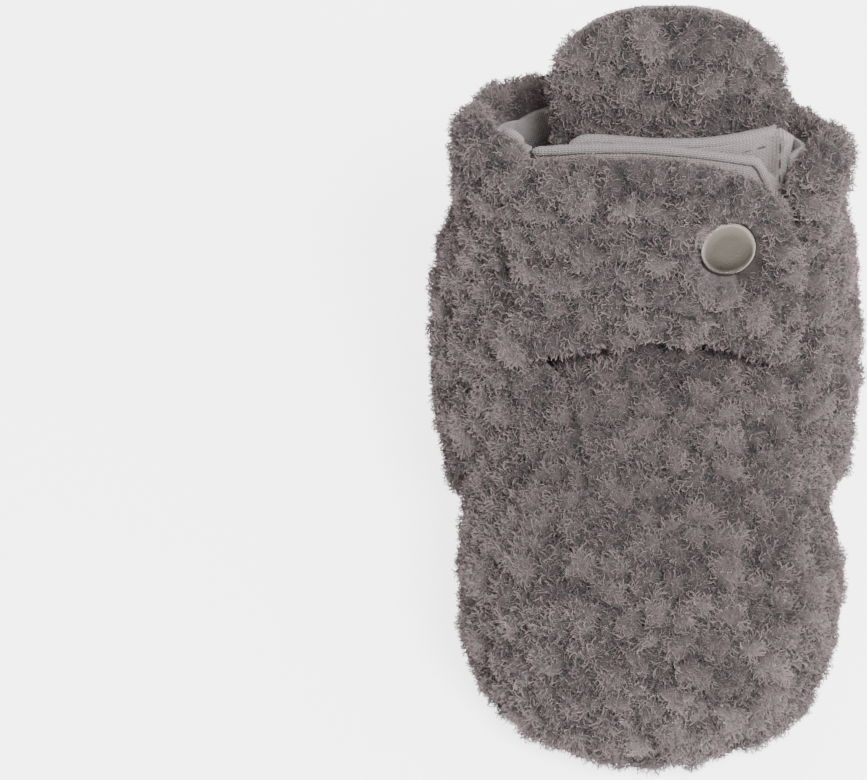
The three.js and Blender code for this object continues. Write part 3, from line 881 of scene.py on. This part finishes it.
def stitch_tree():
    """Stitches set along a path of edges."""
    inputs = (
        ("Spacing", "NodeSocketFloat"),
        ("Length", "NodeSocketFloat"),
        ("Radius", "NodeSocketFloat"),
        ("Material", "NodeSocketMaterial"),
    )
    tree, graph, given = new_tree("topstitches", inputs)
    path = graph.node("GeometryNodeMeshToCurve", None, {"Mesh": given["Geometry"]})
    spots = graph.node(
        "GeometryNodeCurveToPoints", {"mode": "LENGTH"}, {"Curve": path, "Length": given["Spacing"]}
    )
    turn = Value(graph, spots.socket.node.outputs["Rotation"])
    stitch = graph.node(
        "GeometryNodeMeshUVSphere",
        None,
        {"Segments": 8, "Rings": 6, "Radius": 1.0},
    )
    shaped = graph.node(
        "ShaderNodeCombineXYZ",
        None,
        {"X": given["Radius"], "Y": given["Radius"], "Z": given["Length"] * 0.5},
    )
    placed = graph.node(
        "GeometryNodeInstanceOnPoints",
        None,
        {"Points": spots, "Instance": stitch, "Rotation": turn, "Scale": shaped},
    )
    thread = graph.node("GeometryNodeRealizeInstances", None, {"Geometry": placed})
    dressed = graph.node(
        "GeometryNodeSetMaterial", None, {"Geometry": thread, "Material": given["Material"]}
    )
    finish_tree(tree, graph, dressed)
    return tree


def stitches(name, points, tree, settings, thread):
    mesh = bpy.data.meshes.new(name)
    mesh.from_pydata(points, [(i, i + 1) for i in range(len(points) - 1)], [])
    made = place(name, mesh)
    values = {
        "Spacing": settings.stitch_gap,
        "Length": settings.stitch,
        "Radius": 0.2 * MM,
        "Material": thread,
    }
    return run_tree(made, tree, values)


class BOOTIE_OT_linings(bpy.types.Operator):
    """Makes the knit linings and the under-flap's two layers"""

    bl_idname = "bootie.linings"
    bl_label = "Knit Linings"

    def execute(self, context):
        knit = shared_knit(context.scene.bootie_knit)
        wrapped = {"quarter_lining", "vamp_lining"}
        level = {"insole_lining"}
        nodes = (
            "quarter_lining",
            "vamp_lining",
            "insole_lining",
            "tongue_lining",
            "strap_lining",
            "underflap_face",
            "underflap_lining",
        )
        for node in nodes:
            if node in wrapped:
                made = lining(node + "_cloth", node, lambda p: (around(p), p.z))
            elif node in level:
                made = lining(node + "_cloth", node, lambda p: (p.x, p.y))
            else:
                made = lining(node + "_cloth", node, lambda p: (p.z * SLOPE, p.x), 2 * MM)
            made.data.materials.append(knit)
            attach(made, body_of(node), "knit", node)
        return {"FINISHED"}


class BOOTIE_OT_edges(bpy.types.Operator):
    """Makes the rolled knit edges of the strap, the under-flap and the cuff"""

    bl_idname = "bootie.edges"
    bl_label = "Rolled Edges"

    def execute(self, context):
        settings = context.scene.bootie_knit
        knit = shared_knit(settings)
        for name, body, points, radius in (
            ("strap_edge", "strap", strap_edge_path(), settings.roll * 0.95),
            ("underflap_edge", "underflap", underflap_edge_path(), settings.roll * 1.15),
            ("cuff_edge", "shoe", cuff_path(), settings.roll * 1.2),
        ):
            made = roll(name, points, radius)
            made.data.materials.append(knit)
            attach(made, body, "knit")
        return {"FINISHED"}


class BOOTIE_OT_topstitching(bpy.types.Operator):
    """Sews a row of stitches just inside the under-flap's edge"""

    bl_idname = "bootie.topstitching"
    bl_label = "Topstitching"

    def execute(self, context):
        settings = context.scene.bootie_knit
        thread = yarn(settings)
        tree = stitch_tree()
        face = bvh("underflap_face")
        inward = inset_path(underflap_edge_path(), settings.stitch_inset, face)
        made = stitches("underflap_topstitch", inward, tree, settings, thread)
        attach(made, "underflap", "knit")
        made = stitches("underflap_root_stitch", root_path(face), tree, settings, thread)
        attach(made, "underflap", "knit")
        return {"FINISHED"}


def strap_edge_path():
    return flap_edge(("strap_lining",), 1, -22 * MM, 21 * MM, 47 * MM, 82 * MM)


def underflap_edge_path():
    nodes = ("underflap_face", "underflap_lining")
    return flap_edge(nodes, -1, 22 * MM, -14 * MM, 53 * MM, 81 * MM)


def root_path(face):
    """A line down the under-flap's outer face, beside the seam that joins it to the quarter."""
    laid = []
    for step in range(12):
        spot = Vector((22.6, -30, 78.5 - step * 1.6)) * MM
        hit = face.ray_cast(spot, Vector((0, 1, 0)))[0]
        if hit:
            laid.append(hit + Vector((0, -0.05 * MM, 0)))
    return resample(laid, 1 * MM)


def inset_path(points, inset, face):
    """A path drawn towards the middle of a flap and laid on its outer face."""
    middle = sum(points, Vector()) / len(points)
    laid = []
    for before, point, after in zip(points, points[1:], points[2:]):
        ahead = (after - before).normalized()
        towards = middle - point
        inward = (towards - ahead * towards.dot(ahead)).normalized()
        spot = point + inward * inset
        hit = face.ray_cast(spot - Vector((0, 30 * MM, 0)), Vector((0, 1, 0)))[0]
        if hit:
            laid.append(hit + Vector((0, -0.05 * MM, 0)))
    return resample(smooth_path(laid), 1 * MM)


def cuff_path():
    """The top of the quarter's lining, from one side of the open front round the heel to the other."""
    points = vertices_of("quarter_lining")
    centre = Vector((0, 33 * MM, 0))
    rim = []
    count = 36
    for i in range(count + 1):
        turn = math.radians(-122 + 244 * i / count)
        out = Vector((math.sin(turn), math.cos(turn), 0))
        near = []
        for point in points:
            flat = Vector((point.x - centre.x, point.y - centre.y, 0))
            if flat.length > 1 * MM and flat.normalized().dot(out) > math.cos(math.radians(6)):
                near.append(point)
        if not near:
            continue
        top = max(point.z for point in near)
        if top < 78 * MM:
            continue
        edge = [point for point in near if point.z > top - 2.5 * MM]
        spot = sum(edge, Vector()) / len(edge)
        rim.append(Vector((spot.x, spot.y, top)))
    return rim


SLOPE = 1.12  # the front of the ankle leans, so a millimetre of height is this much cloth
SNAP_FLARE = 64  # sides of the cap, enough to look round


def snap_frame():
    """The snap's centre on the cap's crown, its outward direction, and the cap's radius."""
    points = vertices_of("snap_cap")
    ring = vertices_of("snap_socket")
    middle = sum(points, Vector()) / len(points)
    inner = sum(ring, Vector()) / len(ring)
    out = (middle - inner).normalized()
    crown = max((point - middle).dot(out) for point in points)
    radius = max(
        ((point - middle) - out * (point - middle).dot(out)).length
        for point in points
        if (point - middle).dot(out) > 0
    )
    return middle + out * crown, out, radius


class BOOTIE_OT_snap(bpy.types.Operator):
    """Turns the snap's cap and finishes its other metal parts"""

    bl_idname = "bootie.snap"
    bl_label = "Snap"

    def execute(self, context):
        settings = context.scene.bootie_snap
        metal = satin_nickel(settings)
        crown, out, radius = snap_frame()
        rim = settings.rim
        profile = (
            (0, -settings.dish),
            (radius * 0.45, -settings.dish),
            (radius - rim * 1.7, -settings.dish * 0.9),
            (radius - rim * 1.2, -settings.dish * 0.55),
            (radius - rim * 0.85, -0.02 * MM),
            (radius - rim * 0.5, 0.05 * MM),
            (radius - rim * 0.22, -0.06 * MM),
            (radius - rim * 0.05, -0.3 * MM),
            (radius, -0.65 * MM),
            (radius - rim * 0.1, -1.15 * MM),
            (radius - rim * 0.4, -1.6 * MM),
            (radius - rim * 1.4, -1.7 * MM),
            (0, -1.7 * MM),
        )
        side = out.orthogonal().normalized()
        mesh = bmesh.new()
        line = [mesh.verts.new(crown + side * r + out * h) for r, h in profile]
        edges = [mesh.edges.new(pair) for pair in zip(line, line[1:])]
        bmesh.ops.spin(
            mesh,
            geom=line + edges,
            cent=crown,
            axis=out,
            angle=2 * math.pi,
            steps=SNAP_FLARE,
            use_duplicate=False,
        )
        bmesh.ops.remove_doubles(mesh, verts=mesh.verts, dist=0.001 * MM)
        bmesh.ops.recalc_face_normals(mesh, faces=mesh.faces)
        data = bpy.data.meshes.new("snap_cap_turned")
        mesh.to_mesh(data)
        mesh.free()
        data.shade_smooth()
        radii = [((spot.co - crown) - out * (spot.co - crown).dot(out)).length for spot in data.vertices]
        # rim marks the rolled rim, which gets the painted highlight.
        store(data, "rim", [ease(r, radius * 0.8, radius * 0.97) for r in radii])
        cap = place("snap_cap_turned", data)
        cap.data.materials.append(metal)
        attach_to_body(cap, "strap")
        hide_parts("snap_cap")
        for node in ("snap_socket", "snap_stud", "snap_ring"):
            finish_node(node, metal)
        return {"FINISHED"}


def finish_node(node, material):
    """Gives a CAD solid that stays as it is its material."""
    made = NODES[node]
    if not made.material_slots:
        raise ValueError(node + " has no material slot")
    for entry in made.material_slots:
        entry.material = material


class BOOTIE_OT_hidden_layers(bpy.types.Operator):
    """Finishes the sole, the stiffeners and the ankle elastic"""

    bl_idname = "bootie.hidden_layers"
    bl_label = "Sole and Stiffeners"

    def execute(self, context):
        cloth = woven("sole_cloth", (0.1, 0.085, 0.08), (0.2, 0.17, 0.16), 2 * math.pi / (0.8 * MM))
        wadding = wadding_fibre("wadding", (0.62, 0.6, 0.56), (0.84, 0.82, 0.78))
        stiffener = woven("stiffener", (0.12, 0.1, 0.098), (0.2, 0.17, 0.168), 2 * math.pi / (0.7 * MM))
        web = elastic_ribs("elastic_web", (0.62, 0.6, 0.56), (0.86, 0.85, 0.81))
        finish_node("outsole", cloth)
        finish_node("sole_padding", wadding)
        finish_node("strap_interfacing", stiffener)
        finish_node("underflap_interfacing", stiffener)
        finish_node("ankle_elastic", web)
        return {"FINISHED"}


# ------------------------------------------------------------------ stage


def area_light(name, where, target, size, power):
    data = bpy.data.lights.new(name, "AREA")
    data.size = size
    data.energy = power
    lamp = bpy.data.objects.new(name, data)
    bpy.context.scene.collection.objects.link(lamp)
    lamp.location = where
    lamp.rotation_euler = (Vector(target) - Vector(where)).to_track_quat("-Z", "Y").to_euler()


class BOOTIE_OT_stage(bpy.types.Operator):
    """Sets up the floor, the soft light and the camera"""

    bl_idname = "bootie.stage"
    bl_label = "Stage"

    def execute(self, context):
        settings = context.scene.bootie_stage
        floor = bpy.data.meshes.new("floor")
        reach = 3.0
        corners = [(-reach, -reach), (reach, -reach), (reach, reach), (-reach, reach)]
        floor.from_pydata([(x, y, -0.0002) for x, y in corners], [], [(0, 1, 2, 3)])
        material, graph, shader = surface("floor", {"Roughness": 0.9})
        shader.inputs["Base Color"].default_value = (*settings.floor, 1)
        shader.inputs["Emission Color"].default_value = (1, 1, 1, 1)
        shader.inputs["Emission Strength"].default_value = settings.glow
        floor.materials.append(material)
        place("floor", floor)

        middle = (0, 0, 0.04)
        area_light("key", (0.25, -0.55, 0.95), middle, 0.4, 19)
        area_light("fill", (0.8, -0.4, 0.5), middle, 0.7, 4)
        area_light("back", (0.1, 0.8, 0.7), middle, 0.6, 5)
        world = bpy.data.worlds.new("soft_white")
        world.use_nodes = True
        world.node_tree.nodes["Background"].inputs["Color"].default_value = (1, 1, 1, 1)
        world.node_tree.nodes["Background"].inputs["Strength"].default_value = 0.8
        context.scene.world = world

        lens = bpy.data.cameras.new("camera")
        lens.lens = lens.sensor_width * settings.distance / settings.view_width
        lens.clip_start, lens.clip_end = 0.01, 20
        camera = bpy.data.objects.new("camera", lens)
        context.scene.collection.objects.link(camera)
        rise = settings.elevation
        target = Vector((-39.4, 0, 38.6)) * MM
        back = Vector((0, -math.cos(rise), math.sin(rise)))
        camera.location = target + back * settings.distance
        camera.rotation_euler = (-back).to_track_quat("-Z", "Y").to_euler()
        context.scene.camera = camera
        return {"FINISHED"}


# ------------------------------------------------------------------ add-on

OPERATORS = (
    BOOTIE_OT_fleece,
    BOOTIE_OT_linings,
    BOOTIE_OT_edges,
    BOOTIE_OT_topstitching,
    BOOTIE_OT_snap,
    BOOTIE_OT_hidden_layers,
    BOOTIE_OT_stage,
)


class BOOTIE_PT_sidebar(bpy.types.Panel):
    bl_idname = "BOOTIE_PT_sidebar"
    bl_label = "Baby Bootie"
    bl_space_type = "VIEW_3D"
    bl_region_type = "UI"
    bl_category = "Bootie"

    def draw(self, context):
        for operator in OPERATORS:
            self.layout.operator(operator.bl_idname)


GROUPS = {
    "bootie_fleece": FleeceSettings,
    "bootie_knit": KnitSettings,
    "bootie_snap": SnapSettings,
    "bootie_stage": StageSettings,
}


def register():
    for made in (*GROUPS.values(), *OPERATORS, BOOTIE_PT_sidebar):
        bpy.utils.register_class(made)
    for name, group in GROUPS.items():
        setattr(bpy.types.Scene, name, bpy.props.PointerProperty(type=group))


def unregister():
    for name in GROUPS:
        delattr(bpy.types.Scene, name)
    for made in (BOOTIE_PT_sidebar, *reversed(OPERATORS), *reversed(GROUPS.values())):
        bpy.utils.unregister_class(made)


def main():
    register()
    for operator in OPERATORS:
        family, name = operator.bl_idname.split(".")
        getattr(getattr(bpy.ops, family), name)()


if __name__ == "__main__":
    main()
